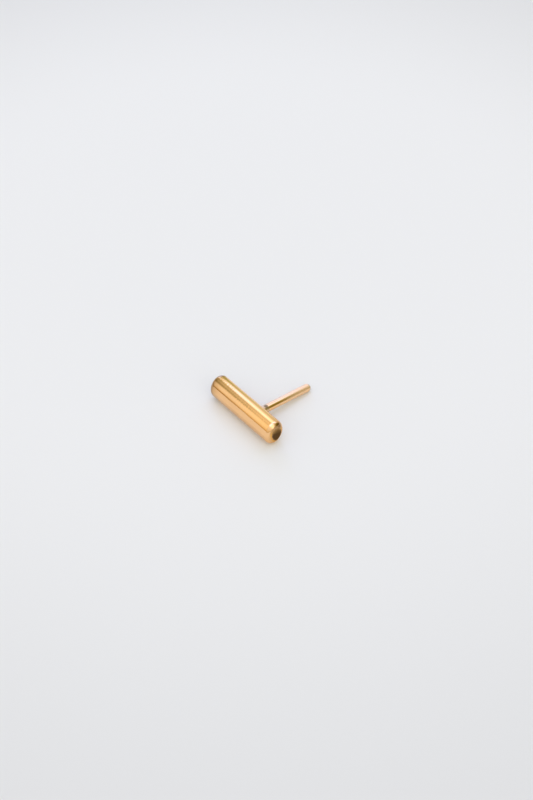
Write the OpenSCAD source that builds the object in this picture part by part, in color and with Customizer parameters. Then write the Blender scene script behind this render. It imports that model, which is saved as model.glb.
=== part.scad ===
// Bar stud earring: a short polished bar with a flattened back and a bare ear post
// soldered to it. It is one soldered piece of metal, lying on its side on a surface,
// on the round underside of the bar and on the tip of the post. Units are millimetres.
// The bar runs along X, the post leaves its back towards +Y, and Z is up.

/* [Bar] */
// Length of the bar from end to end
bar_length = 10; // [8:0.1:14]
// Height of the oval section, across the face that is worn to the front
bar_height = 2.9; // [2.7:0.05:3.1]
// Depth of the full oval section, before its back is flattened
bar_depth = 2.4; // [2.3:0.05:2.5]
// Radius of the oval's upper and lower edges
edge_radius = 1.05; // [1:0.01:1.1]
// Distance from the middle of the oval to the flat back
back_reach = 1; // [0.95:0.01:1.05]
// Radius that rounds off both ends of the bar
end_round = 0.57; // [0.3:0.01:0.7]

/* [Post] */
// Diameter of the ear post, a common gauge of post wire
post_diameter = 0.9; // [0.8:0.05:1]
// Length of the post from the flat back to its tip
post_length = 7.3; // [6:0.1:9]
// Distance of the post from the middle of the bar, towards one end
post_offset = 1.24; // [0:0.01:2]
// Radius that rounds off the tip of the post
tip_round = 0.22; // [0.1:0.01:0.3]
// Radius of the solder fillet between the post and the flat back
solder_fillet = 0.3; // [0.2:0.01:0.3]

/* [Hidden] */
$fn = 120;
gold = [0.93, 0.72, 0.42];
post_radius = post_diameter / 2;
solder_bite = solder_fillet / 10;

// The oval is drawn with four arcs that run into each other without a corner: an upper
// and a lower one of edge_radius, and a front and a back one of side_radius.
edge_centre = bar_height / 2 - edge_radius;
side_gap = bar_depth / 2 - edge_radius;
side_centre = (edge_centre * edge_centre - side_gap * side_gap) / (2 * side_gap);
side_radius = bar_depth / 2 + side_centre;

// How far the stud rolls forwards until the tip of its post meets the surface
tip_reach = back_reach + post_length - tip_round;
tip_drop = edge_centre - post_radius + tip_round;
roll = acos((tip_round - edge_radius) / norm([tip_drop, tip_reach])) - atan2(tip_reach, tip_drop);

// Height of the bar's centre line over the surface
rest_height = edge_centre * cos(roll) + edge_radius;

// The lowest and highest Y of the stud as it lies, to centre it on the origin
front_y = side_centre * cos(roll) - side_radius;
tip_y = tip_reach * cos(roll) + (post_radius - tip_round) * sin(roll) + tip_round;
middle_y = (front_y + tip_y) / 2;

// A quarter of a round disc, for a rounded rim
module quarter(radius) {
    intersection() {
        circle(radius);
        square(radius);
    }
}

// Half outline of a rod from y = low to y = high with a rounded rim at the upper end
module rod_outline(radius, low, high, rim) {
    translate([0, low]) square([radius - rim, high - low]);
    translate([0, low]) square([radius, high - rim - low]);
    translate([radius - rim, high - rim]) quarter(rim);
}

// A rod along X with rounded rims, as long as the bar
module bar_rod(radius) {
    rotate([0, 90, 0])
        rotate_extrude()
            for (half = [0, 1])
                mirror([0, half]) rod_outline(radius, 0, bar_length / 2, end_round);
}

// What a sector of the bar's section keeps, along the whole bar: points are [y, z]
module along_bar(points) {
    rotate([90, 0, 90])
        linear_extrude(height = 2 * bar_length, center = true)
            polygon(points);
}

// The share of the bar behind one side arc of the oval: a sector of a wide rod, which
// ends at y = -reach, flat where that lies within the arc
module bar_side(reach) {
    far_z = edge_centre * (1 + reach / side_centre);
    intersection() {
        translate([0, side_centre, 0]) bar_rod(side_radius);
        along_bar([[0, -edge_centre], [0, edge_centre], [-reach, far_z], [-reach, -far_z]]);
    }
}

// The share of the bar under the upper arc of the oval: a sector of a slim rod
module bar_edge() {
    far_z = bar_height;
    far_y = side_centre * (far_z / edge_centre - 1);
    intersection() {
        translate([0, 0, edge_centre]) bar_rod(edge_radius);
        along_bar([[0, edge_centre], [far_y, far_z], [-far_y, far_z]]);
    }
}

// The bar: an oval rod with rounded ends and a flattened back
module bar() {
    bar_edge();
    mirror([0, 0, 1]) bar_edge();
    bar_side(bar_depth);
    mirror([0, 1, 0]) bar_side(back_reach);
}

// The ear post with its rounded tip, and the fillet of solder round its foot, which
// meets the back and the post at a low angle, as solder that has flowed does
module ear_post() {
    foot = back_reach / 2;
    fillet_radius = post_radius + solder_fillet;
    fillet_top = back_reach + solder_fillet;
    hollow_at = [fillet_radius - solder_bite, fillet_top - solder_bite];
    translate([post_offset, 0, 0])
        rotate([-90, 0, 0]) {
            rotate_extrude() rod_outline(post_radius, foot, back_reach + post_length, tip_round);
            rotate_extrude() difference() {
                translate([0, foot]) square([fillet_radius, fillet_top - foot]);
                translate(hollow_at) circle(solder_fillet);
            }
        }
}

// The whole stud as it lies on a surface
module bar_stud() {
    color(gold)
        translate([0, -middle_y, rest_height])
            rotate([-roll, 0, 0])
                union() {
                    bar();
                    ear_post();
                }
}

bar_stud();
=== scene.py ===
# %% [markdown]
# # A flat back bar stud
# This lesson builds the looks of one small ear stud: a polished gold bar with rounded
# ends and a flattened back, and a bare post that is soldered to the back. The stud lies
# on a pale table, on its round underside and on the tip of its post.
#
# The solid from the CAD work is loaded first. It fixes where the stud lies and how big
# it is, so everything below is made to its measures.

# %% Load the frame
import math

import bmesh
import bpy
from mathutils import Matrix, Vector


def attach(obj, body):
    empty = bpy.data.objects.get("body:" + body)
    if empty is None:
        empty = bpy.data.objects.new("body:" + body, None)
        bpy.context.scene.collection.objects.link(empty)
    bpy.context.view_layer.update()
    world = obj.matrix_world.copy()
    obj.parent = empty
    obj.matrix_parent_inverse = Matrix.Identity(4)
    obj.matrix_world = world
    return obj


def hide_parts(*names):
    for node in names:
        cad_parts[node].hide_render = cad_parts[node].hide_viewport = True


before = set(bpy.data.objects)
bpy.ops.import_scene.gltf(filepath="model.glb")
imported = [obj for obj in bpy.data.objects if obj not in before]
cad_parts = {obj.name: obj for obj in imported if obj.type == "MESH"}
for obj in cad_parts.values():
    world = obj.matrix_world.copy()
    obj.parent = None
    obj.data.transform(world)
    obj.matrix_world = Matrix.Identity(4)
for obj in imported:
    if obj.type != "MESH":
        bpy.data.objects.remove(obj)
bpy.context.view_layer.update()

# %% [markdown]
# ## The camera
# A picture of a thing this small is taken from close by, so the lines along the bar run
# together a little. The bearing, the height and the distance of the camera were found
# by matching both ends of the bar and the tip of the post. The angles are measured
# round the point it looks at: 0 degrees looks along +Y, and the height is over the table.

# %% Place the camera
MM = 0.001


def direction(bearing, height):
    """The unit vector towards a point seen at a bearing and a height, in degrees."""
    turn, rise = math.radians(bearing), math.radians(height)
    return Vector((math.sin(turn) * math.cos(rise), -math.cos(turn) * math.cos(rise), math.sin(rise)))


camera_bearing = 49.256
camera_height = 45.941
camera_distance = 123.79 * MM
looked_at = Vector((-0.607, -0.067, 0)) * MM

lens = bpy.data.cameras.new("camera")
lens.lens = 50
lens.sensor_width = 36
lens.clip_start = 0.01
lens.clip_end = 10
camera = bpy.data.objects.new("camera", lens)
towards_camera = direction(camera_bearing, camera_height)
camera.location = looked_at + camera_distance * towards_camera
camera.rotation_mode = "QUATERNION"
camera.rotation_quaternion = (-towards_camera).to_track_quat("-Z", "Y")
bpy.context.scene.collection.objects.link(camera)
bpy.context.scene.camera = camera
bpy.context.scene.view_settings.view_transform = "Standard"
print("camera at, in mm:", [round(value / MM, 1) for value in camera.location])

# %% [markdown]
# ## The measures
# These are the sizes that the stud is made to, in millimetres, and the few that follow
# from them. The section of the bar is an oval of four arcs, and each pair of arcs meets
# on a line through both of their centres, so no corner shows. A hair is the slack that
# the tests for a place allow below, because sums on a computer are rounded.

# %% Sizes in millimetres
bar_length = 10
bar_height = 2.9
bar_depth = 2.4
edge_radius = 1.05
back_reach = 1
end_round = 0.57
post_radius = 0.45
post_length = 7.3
post_offset = 1.24
tip_round = 0.22
hair = 1e-5

edge_centre = bar_height / 2 - edge_radius
side_gap = bar_depth / 2 - edge_radius
side_centre = (edge_centre ** 2 - side_gap ** 2) / (2 * side_gap)
side_radius = bar_depth / 2 + side_centre
side_angle = math.degrees(math.atan2(edge_centre, side_centre))
edge_angle = 180 - 2 * side_angle
print("side arcs of", round(side_radius, 3), "mm turn", round(2 * side_angle, 1), "degrees")

# %% [markdown]
# ## How it lies
# A bar with a post in its back can't lie on the post's side, because the post is
# thinner: it rolls back until the tip of the post touches the table. The angle follows
# from the two circles that touch the table, the lower edge of the oval and the tip.

# %% Where the stud lies
tip_reach = back_reach + post_length - tip_round
tip_drop = edge_centre - post_radius + tip_round
lean = math.acos((tip_round - edge_radius) / math.hypot(tip_drop, tip_reach))
roll = lean - math.atan2(tip_reach, tip_drop)
rest_height = edge_centre * math.cos(roll) + edge_radius
front_y = side_centre * math.cos(roll) - side_radius
tip_y = tip_reach * math.cos(roll) + (post_radius - tip_round) * math.sin(roll) + tip_round
middle_y = (front_y + tip_y) / 2

as_it_lies = (
    Matrix.Scale(MM, 4)
    @ Matrix.Translation((0, -middle_y, rest_height))
    @ Matrix.Rotation(-roll, 4, "X")
)
print("rolled by", round(math.degrees(roll), 2), "degrees, axis", round(rest_height, 3), "mm up")

# %% [markdown]
# ## Drawing the oval
# A goldsmith would pull a thick wire through a drawplate with an oval hole. Here one
# point is walked round the oval as by a pair of compasses: the spin operator turns it
# about each centre in turn and leaves the edges of an arc behind it. That keeps every
# arc true, which matters in a mirror finish, where the eye sees the slope of a surface
# far better than its place.

# %% Draw the oval with four arcs
step = 0.05


def last_corner(made):
    """The corner that an operator made last."""
    return next(part for part in made if isinstance(part, bmesh.types.BMVert))


def draw_arc(stud, corner, centre, axis, degrees, radius):
    """Walks a corner round a centre, and gives the corner where the arc ends."""
    steps = max(4, round(math.radians(abs(degrees)) * radius / step))
    made = bmesh.ops.spin(
        stud, geom=[corner], cent=centre, axis=axis, angle=math.radians(degrees), steps=steps
    )
    return last_corner(made["geom_last"])


stud = bmesh.new()
end_x = bar_length / 2
corner = stud.verts.new((-end_x, -bar_depth / 2, 0))
arcs = (
    (side_centre, 0, side_angle, side_radius),
    (0, edge_centre, edge_angle, edge_radius),
    (-side_centre, 0, 2 * side_angle, side_radius),
    (0, -edge_centre, edge_angle, edge_radius),
    (side_centre, 0, side_angle, side_radius),
)
for centre_y, centre_z, degrees, radius in arcs:
    corner = draw_arc(stud, corner, (-end_x, centre_y, centre_z), (1, 0, 0), -degrees, radius)
bmesh.ops.remove_doubles(stud, verts=stud.verts, dist=step / 10)
oval = bmesh.ops.contextual_create(stud, geom=stud.edges)["faces"]
print("corners round the oval:", len(stud.verts))

# %% [markdown]
# ## The bar with its rounded ends
# The oval is drawn out to the length of the bar, and the rim at each end is rounded by a
# bevel. A profile of 0.5 makes the bevel a quarter circle, like a rim that was rolled on
# a polishing wheel. Smooth shading would let the rounding of the rims bend the light all
# along the bar, because its faces run from end to end. A cut close to each rim stops that.

# %% Draw out the bar and round its rims
drawn_out = bmesh.ops.extrude_face_region(stud, geom=oval)["geom"]
far_end = [part for part in drawn_out if isinstance(part, bmesh.types.BMVert)]
bmesh.ops.translate(stud, verts=far_end, vec=(bar_length, 0, 0))
bmesh.ops.recalc_face_normals(stud, faces=stud.faces)


def end_faces():
    """The two faces that close the ends of the bar."""
    return [face for face in stud.faces if abs(face.calc_center_median().x) > end_x - hair]


rim_steps = 14
rims = [edge for face in end_faces() for edge in face.edges]
bmesh.ops.bevel(
    stud, geom=rims, offset=end_round, offset_type="OFFSET", segments=rim_steps, profile=0.5,
    affect="EDGES", material=-1,
)
for side in (-1, 1):
    everything = stud.verts[:] + stud.edges[:] + stud.faces[:]
    cut_at = (side * (end_x - end_round - step), 0, 0)
    bmesh.ops.bisect_plane(stud, geom=everything, plane_co=cut_at, plane_no=(1, 0, 0))
print("faces of the bar:", len(stud.faces), "end faces:", len(end_faces()))

# %% [markdown]
# ## The flat back
# The back is filed flat so that it sits against the ear. Filing takes off all that
# stands behind a plane, and the polishing cloth then breaks the sharp edge. Moving the
# corners does both: those well behind the plane go onto it, and those close to the
# plane are eased towards it on a short curve, which is the broken edge.

# %% File the back flat
ease = 0.03


def filed(y):
    """Where a point ends up that was y behind the middle of the bar."""
    if y < back_reach - ease:
        return y
    if y > back_reach + ease:
        return back_reach
    return y - (y - back_reach + ease) ** 2 / (4 * ease)


for vert in stud.verts:
    vert.co.y = filed(vert.co.y)
flat = [vert.co.z for vert in stud.verts if vert.co.y > back_reach - hair]
print("the flat is", round(max(flat) - min(flat), 2), "mm high")

# %% [markdown]
# ## The dished ends
# A bar is sawn off, and the middle of the cut is a little lower than its rim, because
# the polishing wheel rides on the rim. So each end is made a very shallow dish. Each
# inset draws the face in, and all but the first lower it a little. Poke closes the last
# face with a fan of triangles.

# %% Dish both ends
dish = ((0.03, 0), (0.05, -0.01), (0.08, -0.025), (0.12, -0.025), (0.15, -0.01))
for face in end_faces():
    for inset, drop in dish:
        bmesh.ops.inset_individual(stud, faces=[face], thickness=inset, depth=drop, use_even_offset=True)
    bmesh.ops.poke(stud, faces=[face])
print("each dish is", -sum(drop for inset, drop in dish), "mm deep")

# %% [markdown]
# ## The post
# The post is a length of wire. Its outline is drawn from the foot to the tip: the hollow
# curve of the solder, the thin skin of solder that crept up the wire, the step where it
# stopped, the side of the wire and the rounded rim of the tip. Then the outline is
# turned once round the middle of the wire, as on a lathe. use_merge closes the seam, and
# the corners that meet on the middle line are merged into one. Tumbling and polishing wear
# the tip of a post almost to a dome, so it is a little rounder here than in the CAD solid.
# The side of the wire gets a few rings, so that no face on it is very long.

# %% Turn the post
solder_fillet = 0.22
solder_skin = 0.02
solder_reach = 0.95
solder_edge = 0.16
dome_round = 0.4
post_steps = 72
collar_radius = post_radius + solder_skin
foot_radius = collar_radius + solder_fillet
tip_end = back_reach + post_length
collar_end = back_reach + solder_reach

outline_from = len(stud.verts)
corner = stud.verts.new((post_offset + foot_radius, back_reach, 0))
fillet_centre = (post_offset + foot_radius, back_reach + solder_fillet, 0)
corner = draw_arc(stud, corner, fillet_centre, (0, 0, 1), -90, solder_fillet)


def draw_to(corner, radius, y):
    """Draws the outline on to a place on the wire."""
    made = bmesh.ops.extrude_vert_indiv(stud, verts=[corner])["verts"][0]
    made.co = (post_offset + radius, y, 0)
    return made


for radius, y in (
    (collar_radius, collar_end - 2.5 * solder_edge),
    (collar_radius, collar_end - solder_edge),
    (collar_radius - 0.4 * solder_skin, collar_end - 0.375 * solder_edge),
    (post_radius, collar_end),
    (post_radius, collar_end + 0.05),
    (post_radius, collar_end + 2),
    (post_radius, collar_end + 4),
    (post_radius, tip_end - dome_round),
):
    corner = draw_to(corner, radius, y)
tip_centre = (post_offset + post_radius - dome_round, tip_end - dome_round, 0)
corner = draw_arc(stud, corner, tip_centre, (0, 0, 1), 90, dome_round)
corner = draw_to(corner, 0, tip_end)

stud.verts.ensure_lookup_table()
outline = stud.verts[outline_from:]
outline_edges = [edge for edge in stud.edges if not edge.link_faces]
bmesh.ops.spin(
    stud, geom=outline + outline_edges, cent=(post_offset, 0, 0), axis=(0, 1, 0),
    angle=math.tau, steps=post_steps, use_merge=True,
)
stud.verts.ensure_lookup_table()
bmesh.ops.remove_doubles(stud, verts=stud.verts[outline_from:], dist=10 * hair)
stud.verts.ensure_lookup_table()
post = stud.verts[outline_from:]
print("corners of the post:", len(post))

# %% [markdown]
# ## Soldering the post to the back
# The foot of the post opens towards the flat back. Two cuts across the bar set off a
# patch of the flat, the patch is taken out, and the bridge operator joins the rim of the
# hole to the rim of the foot. The stud is then one closed skin, as the soldered piece is
# one piece of metal. The two rims lie in one plane, where the operator can't tell which
# way the new faces should run, so the post is held off the back while it is bridged.

# %% Solder the post on
cut_margin = 0.015
patch_margin = 0.05
patch = foot_radius + cut_margin
held_off = Vector((0, 1, 0))
bmesh.ops.translate(stud, verts=post, vec=held_off)
for side in (-1, 1):
    everything = stud.verts[:] + stud.edges[:] + stud.faces[:]
    cut_at = (post_offset + side * patch, 0, 0)
    bmesh.ops.bisect_plane(stud, geom=everything, plane_co=cut_at, plane_no=(1, 0, 0))


def on_patch(face):
    """Whether a face is a strip of the flat back under the foot of the post."""
    deep = all(abs(vert.co.y - back_reach) < hair for vert in face.verts)
    near = all(abs(vert.co.z) < foot_radius + patch_margin for vert in face.verts)
    return deep and near and abs(face.calc_center_median().x - post_offset) < patch


strips_out = [face for face in stud.faces if on_patch(face)]
bmesh.ops.delete(stud, geom=strips_out, context="FACES")
open_rims = [edge for edge in stud.edges if edge.is_boundary]
bridged = bmesh.ops.bridge_loops(stud, edges=open_rims)["faces"]
bmesh.ops.translate(stud, verts=post, vec=-held_off)
bmesh.ops.recalc_face_normals(stud, faces=stud.faces)
print("strips taken out:", len(strips_out), "bridge faces:", len(bridged))
print("area of the bridge:", round(sum(face.calc_area() for face in bridged), 3), "square mm")
print("open edges left:", sum(not edge.is_manifold for edge in stud.edges))

# %% [markdown]
# ## Laying it down
# The matrix from above rolls the stud back onto the tip of its post and turns
# millimetres into metres. It is put into the mesh, so that the object itself stays at
# the origin. Every face is smooth, and a modifier weighs the shading by the size of the
# faces, which keeps the large faces free of the pull of the narrow ones beside them.

# %% Lay the stud down
bmesh.ops.transform(stud, matrix=as_it_lies, verts=stud.verts)
for face in stud.faces:
    face.smooth = True
volume = stud.calc_volume() / MM ** 3
skin = bpy.data.meshes.new("polished_stud")
stud.to_mesh(skin)
stud.free()
polished_stud = bpy.data.objects.new("polished_stud", skin)
bpy.context.scene.collection.objects.link(polished_stud)
even_shading = polished_stud.modifiers.new("even_shading", "WEIGHTED_NORMAL")
even_shading.keep_sharp = True
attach(polished_stud, "root")
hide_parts("bar_stud")
print("volume in cubic mm:", round(volume, 2), "faces:", len(skin.polygons))

# %% [markdown]
# ## Writing a finish as sums
# A finish is a web of small nodes. The first class below wraps a node's output, so that
# plus, minus and the rest in Python add the Math node that does it. The second holds all
# the nodes of one finish. Its method node adds any kind of node: it sets the node's own
# settings first and then fills its sockets.

# %% A shorthand for nodes
class Wire:
    """One output of a node. Sums written with it become Math nodes."""

    def __init__(self, web, socket):
        self.web = web
        self.socket = socket

    def math(self, operation, *others):
        """Adds the Math node of an operation, with this value first."""
        sockets = dict(enumerate((self, *others)))
        return self.web.node("ShaderNodeMath", {"operation": operation}, sockets)

    def __add__(self, other):
        return self.math("ADD", other)

    def __sub__(self, other):
        return self.math("SUBTRACT", other)

    def __mul__(self, other):
        return self.math("MULTIPLY", other)

    def __truediv__(self, other):
        return self.math("DIVIDE", other)

    def __pow__(self, other):
        return self.math("POWER", other)

    def __rsub__(self, other):
        return self.web.node("ShaderNodeMath", {"operation": "SUBTRACT"}, {0: other, 1: self})

    __radd__ = __add__
    __rmul__ = __mul__

    def rises(self, low, high):
        """0 below low and 1 above high, with a soft step between."""
        ends = {"Value": self, "From Min": low, "From Max": high}
        return self.web.node("ShaderNodeMapRange", {"interpolation_type": "SMOOTHSTEP"}, ends)

    def falls(self, low, high):
        """1 below low and 0 above high, with a soft step between."""
        return 1 - self.rises(low, high)


class Web:
    """The nodes of one finish."""

    def __init__(self, owner):
        owner.use_nodes = True
        self.tree = owner.node_tree
        self.tree.nodes.clear()

    def node(self, kind, settings, sockets, out=0):
        """Adds a node and gives one of its outputs, or nothing where it has none."""
        node = self.tree.nodes.new(kind)
        for name, value in settings.items():
            if name == "stops":
                self.set_stops(node.color_ramp.elements, value)
            else:
                setattr(node, name, value)
        for name, value in sockets.items():
            if isinstance(value, Wire):
                self.tree.links.new(value.socket, node.inputs[name])
            else:
                node.inputs[name].default_value = value
        return Wire(self, node.outputs[out]) if node.outputs else None

    def set_stops(self, ramp, stops):
        """Gives a ramp its stops, each a place from 0 to 1 and a grey level."""
        ramp.remove(ramp[1])
        for number, (place, level) in enumerate(stops):
            stop = ramp.new(place) if number else ramp[0]
            stop.position = place
            stop.color = (level, level, level, 1)

    def parts(self, vector):
        """The x, y and z of a vector."""
        return [self.node("ShaderNodeSeparateXYZ", {}, {"Vector": vector}, out) for out in range(3)]

    def mixed(self, share, first, second):
        """Two colours mixed by a share from 0 to 1."""
        return self.node("ShaderNodeMix", {"data_type": "RGBA"}, {0: share, 6: first, 7: second}, out=2)

    def noise(self, place, stretch, detail=2.0):
        """Smooth random levels about 0.5, with so many spots to a unit along each axis."""
        spread = self.node("ShaderNodeMapping", {}, {"Vector": place, "Scale": stretch})
        return self.node("ShaderNodeTexNoise", {}, {"Vector": spread, "Scale": 1.0, "Detail": detail})


# %% [markdown]
# ## The light
# Polished gold has hardly a colour of its own: it shows the room, tinted. The room here
# is a plain studio made of soft light. Seen from the stud, its brightness changes mostly
# with the angle round the bar's own axis, as with long strip lights hung beside it.
# Three ramps over that angle describe it, from 0 at the horizon behind the bar over 90
# overhead to 180 at the horizon in front: one for the light that the far part of the
# bar mirrors, one for the near part, and one for the rest of the room on the right,
# which is brightest overhead.

# %% Hang the strip lights
far_strips = (
    (0, 0.58), (22, 0.56), (31, 0.7), (42, 1.0), (54, 1.45), (67, 1.5), (76, 1.05), (83, 0.66),
    (95, 0.54), (105, 0.6), (115, 0.46), (124, 0.36), (132, 0.52), (139, 0.86), (149, 0.94),
    (160, 0.91), (169, 0.83), (176, 0.46), (180, 0.42),
)
near_strips = (
    (0, 0.7), (22, 0.73), (34, 0.82), (45, 1.07), (56, 1.5), (71, 1.55), (80, 1.12), (88, 0.77),
    (97, 0.79), (106, 0.91), (114, 0.88), (122, 0.79), (130, 0.95), (138, 1.1), (152, 1.1),
    (162, 0.98), (170, 0.88), (176, 0.64), (180, 0.6),
)
right_strips = (
    (0, 0.6), (25, 0.65), (50, 0.72), (70, 0.74), (80, 1.3), (95, 1.5), (118, 1.45),
    (132, 1.0), (154, 0.88), (168, 0.75), (180, 0.6),
)
brightest = 2.0
half_turn = 180


def strips(web, turn, levels):
    """The brightness of a row of strip lights at an angle round the bar."""
    stops = [(degrees / half_turn, level / brightest) for degrees, level in levels]
    ramp = web.node("ShaderNodeValToRGB", {"stops": stops}, {"Fac": turn / half_turn})
    return ramp * brightest


room = bpy.data.worlds.new("studio")
bpy.context.scene.world = room
web = Web(room)
towards = web.node("ShaderNodeTexCoord", {}, {})
x, y, z = web.parts(towards)
turn = z.math("ARCTAN2", y) * math.degrees(1)
far_level = strips(web, turn, far_strips)
near_level = strips(web, turn, near_strips)
right_level = strips(web, turn, right_strips)
print("levels of the strip lights:", len(far_strips) + len(near_strips) + len(right_strips))

# %% [markdown]
# ## The window and the dark places
# Masks say where each of the three ramps holds. They are made over x, which runs along
# the bar from -1 on the far side of the room to 1 on the near side. Behind the bar, the
# part of the room on the right starts further to the right than in front of it. Three
# more things break up the strips: a tall window on the left that lights the post, a
# narrow gap between the lights that darkens the far end of the bar, and a dark corner
# behind the stud on the right. Without dark places, polished metal looks like plastic.

# %% Set the window and the dark places
far_meets_near = (-0.5545, -0.526)
near_meets_right = (-0.525, -0.46)
left_level = far_level + x.rises(*far_meets_near) * (near_level - far_level)
past_near = x - y.math("MAXIMUM", 0)
room_level = left_level + past_near.rises(*near_meets_right) * (right_level - left_level)

gap_depth = 0.38
gap_across = x.rises(-0.6, -0.57) * x.falls(-0.5605, -0.5555)
gap_up = turn.falls(70, 100) * (0.5 + 0.5 * turn.rises(38, 46))
gap = gap_across * gap_up

window_glow = 0.34
window = x.rises(-0.93, -0.86) * x.falls(-0.66, -0.57) * turn.falls(55, 75)


def nearness(web, towards, centre):
    """The cosine of the angle between where one looks and the centre of a patch."""
    return web.node("ShaderNodeVectorMath", {"operation": "DOT_PRODUCT"}, {0: towards, 1: centre}, out=1)


corner_depth = 0.66
corner_at = (0.553, 0.755, 0.352)
dark_corner = nearness(web, towards, corner_at).rises(0.84, 0.98)

lit_level = room_level * (1 - gap_depth * gap) + window_glow * window
level = lit_level * (1 - corner_depth * dark_corner)
print("nodes for the brightness of the room:", len(room.node_tree.nodes))

# %% [markdown]
# ## The tint of the light
# The brightness is used as it is for red, and green and blue follow from it. Dim parts of
# a real room are warm, so blue falls off faster than red there, and most of all low in
# front. Low behind the stud, the room is a little greener on the left than on the right,
# and what the near part of the bar mirrors from above and from the front is amber.
# Daylight is whiter than lamplight, so the window, a panel overhead and the brightest
# strip get more blue. The camera sees a plain pale backdrop instead of the lights.

# %% Tint the light
strip = turn.rises(34, 46) * turn.falls(74, 84) * x.rises(-0.5605, -0.5555) * x.falls(-0.556, -0.52)
panel = x.rises(-0.52, -0.4) * x.falls(-0.1, 0.35) * turn.rises(30, 45) * turn.falls(115, 135)
daylight = 0.9 * strip + 1.4 * window + 0.75 * panel
low = turn.falls(15, 40)
leafy = low * x.falls(-0.5, -0.3)
rusty = low - leafy
warm = turn.rises(125, 165)
amber = turn.rises(80, 95) * x.rises(-0.545, -0.52) * x.falls(-0.45, -0.3)

fall_of_green = 1.05 - 0.3 * leafy + 0.2 * rusty + 0.3 * warm
share_of_green = 1 + 0.16 * daylight - 0.1 * amber + 0.08 * dark_corner
green = level ** fall_of_green * share_of_green
fall_of_blue = 0.6 + 0.6 * warm
share_of_blue = 1 + daylight - 0.32 * amber - 0.5 * gap - 0.5 * dark_corner
blue = level * level.math("MINIMUM", 1.0) ** fall_of_blue * share_of_blue

backdrop = (0.84, 0.85, 0.865, 1)
light = web.node("ShaderNodeCombineColor", {}, {"Red": level, "Green": green, "Blue": blue})
seen = web.node("ShaderNodeLightPath", {}, {})
shown = web.mixed(seen, light, backdrop)
lit = web.node("ShaderNodeBackground", {}, {"Color": shown, "Strength": 1.0})
web.node("ShaderNodeOutputWorld", {}, {"Surface": lit})
print("nodes in the room:", len(room.node_tree.nodes))

# %% [markdown]
# ## The table
# The table is a smooth board of milky white plastic. Its colour is painted light: lightest
# about 30 mm beyond the stud, as the camera sees it, and a little darker all round. A fine
# grain keeps it from looking like empty space. The board is also given a painted glow
# everywhere, a small emission that lightens the stud's shadow, as light that spreads inside
# such a board would.

# %% Lay the table
board = bmesh.new()
bmesh.ops.create_grid(board, x_segments=1, y_segments=1, size=1)
top = bpy.data.meshes.new("table")
board.to_mesh(top)
board.free()
table = bpy.data.objects.new("table", top)
bpy.context.scene.collection.objects.link(table)
print("the table is", round(table.dimensions.x / MM), "mm wide")

# %% [markdown]
# ## The finish of the table
# The places here are in metres, because the table was never laid out in millimetres. The
# distance from the best lit place mixes a lighter and a darker tone, painted light both for
# the board itself and for its painted glow. A fine noise is the grain, and a Bump node makes
# it very low.

# %% Finish the table
best_lit = (-0.025, 0.017, 0)
lit_within = 0.035
dim_beyond = 0.105
board_lit = (0.678, 0.656, 0.58, 1)
board_dim = (0.57, 0.551, 0.487, 1)
glow_lit = (0.7, 0.69, 0.66, 1)
glow_dim = (0.588, 0.58, 0.555, 1)
grains = 2500
grain_depth = 0.1 * MM

white_board = bpy.data.materials.new("white_board")
web = Web(white_board)
place = web.node("ShaderNodeTexCoord", {}, {}, out=3)
away = web.node("ShaderNodeVectorMath", {"operation": "DISTANCE"}, {0: place, 1: best_lit}, out=1)
shade = away.rises(lit_within, dim_beyond)
# Painted light: the board is lighter near best_lit and darker further out.
board_colour_and_painted_light = web.mixed(shade, board_lit, board_dim)
# Painted glow: the emission lightens the stud's shadow on the board.
painted_glow = web.mixed(shade, glow_lit, glow_dim)
grain = web.noise(place, (grains, grains, grains), 4.0)
relief = web.node("ShaderNodeBump", {}, {"Strength": 0.05, "Distance": grain_depth, "Height": grain})
sheet = web.node(
    "ShaderNodeBsdfPrincipled", {},
    {"Base Color": board_colour_and_painted_light, "Roughness": 0.7, "Specular IOR Level": 0.2, "Normal": relief,
     "Emission Color": painted_glow, "Emission Strength": 0.18},
)
web.node("ShaderNodeOutputMaterial", {}, {"Surface": sheet})
top.materials.append(white_board)
print("nodes in the table:", len(white_board.node_tree.nodes))

# %% [markdown]
# ## The marks of the polishing wheel
# The gold is a mirror with flaws. They are all laid out in the stud's own millimetres: a
# Mapping node turns the object's coordinates back to how the stud was made, with the bar
# along X and the post along Y. The wheel leaves fine lines along the bar and along the
# post, wider streaks along the bar and a faint waviness, and the alloy is a little
# cloudy. All of them are noise. That of the lines and streaks has far fewer spots to a
# millimetre along the way that the wheel ran than across it.

# %% Mark the gold
polished_gold = bpy.data.materials.new("polished_gold")
web = Web(polished_gold)
shift, unroll, scale = as_it_lies.inverted().decompose()
place = web.node("ShaderNodeTexCoord", {}, {}, out=3)
made = web.node(
    "ShaderNodeMapping", {},
    {"Vector": place, "Location": shift, "Rotation": unroll.to_euler(), "Scale": scale},
)
x, y, z = web.parts(made)

on_post = y.rises(back_reach, back_reach + 0.05)
bar_lines = web.noise(made, (0.3, 9, 9), 3.0)
post_lines = web.noise(made, (9, 0.4, 9), 3.0)
lines = bar_lines + on_post * (post_lines - bar_lines)
clouds = web.noise(made, (0.3, 0.7, 0.7))
streaks = web.noise(made, (0.15, 4, 4)) * (1 - on_post)
waves = web.noise(made, (4, 3, 3), 1.0)
print("nodes for the marks of the wheel:", len(polished_gold.node_tree.nodes))

# %% [markdown]
# ## Tarnish on the ends
# The rounded rims at the ends come out duller and browner than the bar. The sawn ends
# have tarnished to a mottled dark brown in the middle, where the wheel can't reach, with
# a straw-yellow fringe that fades at the top. The tarnish is an oval that leans a little,
# and it is wider at the top. So its mask starts from the distance to its middle, measured
# in its half width and half height, and noise makes its edge ragged. Its brown is painted
# darker towards the bottom, as painted shade of a rounded end.

# %% Tarnish the ends
from_middle = x.math("ABSOLUTE")
rim = from_middle.rises(end_x - 0.16, end_x - 0.04)
worn = rim * (0.15 + 0.45 * z.rises(0.2, 0.85))

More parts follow.
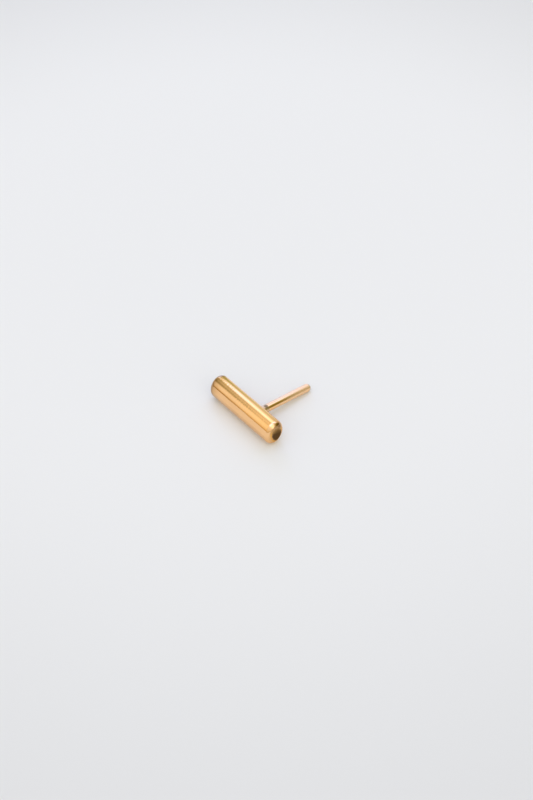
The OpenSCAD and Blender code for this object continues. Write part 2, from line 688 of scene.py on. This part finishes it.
half_width = 0.72 + 0.1 * z
half_height = 0.95
sideways = (y + 0.14 * z - 0.07) / half_width
upwards = (z + 0.04) / half_height
across = (sideways ** 2 + upwards ** 2) ** 0.5
ragged = across + 0.15 * (web.noise(made, (3, 3, 3)) - 0.5)
tarnished = ragged.falls(0.76, 1.08) * from_middle.rises(end_x - 0.3, end_x - 0.2)
round_tarnish = ragged.rises(0.85, 1.0) * ragged.falls(1.08, 1.35)
straw = round_tarnish * z.falls(0.2, 1.1) * from_middle.rises(end_x - 0.5, end_x - 0.3)
mottled = web.noise(made, (2.5, 2.5, 2.5), 3.0)
# Painted shade: the oxide is darker towards the bottom of each end.
painted_oxide_shade = (z - 0.15 * y + 0.4 * (mottled - 0.5)).falls(-0.08, 0.75)
print("nodes with the tarnish:", len(polished_gold.node_tree.nodes))

# %% [markdown]
# ## Solder, painted shade and grime
# The solder round the foot of the post is greyer and rougher than the wire, with a painted
# dark spot of shade near the top of its foot, and the wire gets duller towards its grey tip.
# A painted dark reflection sits on the upper back of both rims: the place is made positive,
# so that one spot stands for both. The end away from the post is a little grimy and also
# painted darker as shade, and the underside is painted darker as the shade it mirrors.

# %% Dirty the gold and paint shade on it
def spot(web, place, centre):
    """How far a place is from the centre of a spot."""
    return web.node("ShaderNodeVectorMath", {"operation": "DISTANCE"}, {0: place, 1: centre}, out=1)


from_wire = ((x - post_offset) ** 2 + z ** 2) ** 0.5
along_solder = y.falls(collar_end - 0.03, collar_end + 0.03) * y.rises(back_reach - 0.05, back_reach)
soldered = from_wire.falls(0.6, 1.1) * along_solder
# Painted shade: a dark spot on top of the post near its foot.
dark_spot_at = (post_offset + 0.06, back_reach + 0.68, post_radius)
painted_foot_shade = 0.75 * spot(web, made, dark_spot_at).falls(0.1, 0.34)
dulled = y.rises(back_reach + 0.8, tip_end - 2)
handled = y.rises(tip_end - 2.6, tip_end - 0.3)
tip = y.rises(tip_end - 0.45, tip_end - 0.15)

# Painted dark reflection: a dark spot on the upper back of each rim.
dark_reflection_at = (end_x - 0.1, 0.39, 1.12)
positive = web.node("ShaderNodeVectorMath", {"operation": "ABSOLUTE"}, {0: made})
near_dark_reflection = spot(web, positive, dark_reflection_at).falls(0.1, 0.55)
painted_dark_reflection = 0.66 * near_dark_reflection * z.rises(0, 0.3) * y.rises(-0.3, 0)

# Grime and painted shade: the far end is darker, which dims its reflections.
far_grime_and_painted_shade = 0.3 * x.falls(-end_x + 0.4, -end_x + 1.9) + 0.32 * x.falls(-end_x + 0.4, -end_x + 0.8)
# Painted shade: the underside is darker, as the shaded table it mirrors.
painted_underside_shade = 0.17 * z.falls(-0.4, 0.1) * from_middle.falls(end_x - 0.7, end_x - 0.2)
grime_and_painted_shade = far_grime_and_painted_shade + painted_underside_shade
print("nodes with the solder and the grime:", len(polished_gold.node_tree.nodes))

# %% [markdown]
# ## Mixing the gold
# The colour starts as clouds of two golds, and each flaw and each painted shade lays its
# own tone over them. The same masks make the gold rougher, and the marks of the wheel go
# through a Bump node into the Normal. Tarnish is no metal, so it is a shader of its own, and
# a Mix Shader with the mask of the tarnish puts it on the ends.

# %% Mix the gold
gold_deep = (0.97, 0.585, 0.28, 1)
gold_light = (1.0, 0.615, 0.3, 1)
grime_and_shade_brown = (0.15, 0.08, 0.02, 1)
straw_yellow = (0.95, 0.45, 0.05, 1)
rim_brown = (0.32, 0.17, 0.05, 1)
dull_wire = (0.95, 0.72, 0.48, 1)
solder_grey = (0.55, 0.45, 0.28, 1)
tip_grey = (0.64, 0.6, 0.5, 1)
dark_spot_brown = (0.1, 0.055, 0.015, 1)
oxide_light = (0.34, 0.185, 0.05, 1)
oxide_dark = (0.08, 0.035, 0.005, 1)

gold = web.mixed(clouds.rises(0.3, 0.7), gold_deep, gold_light)
# Grime and painted shade darken the gold here.
gold = web.mixed(grime_and_painted_shade, gold, grime_and_shade_brown)
gold = web.mixed(0.8 * straw, gold, straw_yellow)
gold = web.mixed(worn, gold, rim_brown)
gold = web.mixed(0.45 * dulled, gold, dull_wire)
gold = web.mixed(0.55 * soldered, gold, solder_grey)
gold = web.mixed(0.8 * tip, gold, tip_grey)
# The painted dark spots at the post's foot and on the rims.
gold = web.mixed(painted_foot_shade.math("MAXIMUM", painted_dark_reflection), gold, dark_spot_brown)

marks_depth = 0.005 * MM
gloss = 0.035 + 0.06 * lines + 0.08 * rim + 0.25 * soldered + 0.34 * dulled + 0.1 * handled
height = 0.6 * lines + 0.9 * streaks + 0.5 * waves
relief = web.node("ShaderNodeBump", {}, {"Strength": 0.8, "Distance": marks_depth, "Height": height})
metal = web.node(
    "ShaderNodeBsdfPrincipled", {},
    {"Base Color": gold, "Metallic": 1.0, "Roughness": gloss, "Normal": relief},
)
brown = web.mixed(painted_oxide_shade, oxide_light, oxide_dark)
oxide = web.node(
    "ShaderNodeBsdfPrincipled", {},
    {"Base Color": brown, "Roughness": 0.6, "Specular IOR Level": 0.04},
)
finish = web.node("ShaderNodeMixShader", {}, {0: 0.96 * tarnished, 1: metal, 2: oxide})
web.node("ShaderNodeOutputMaterial", {}, {"Surface": finish})
skin.materials.append(polished_gold)
print("nodes in the gold:", len(polished_gold.node_tree.nodes))
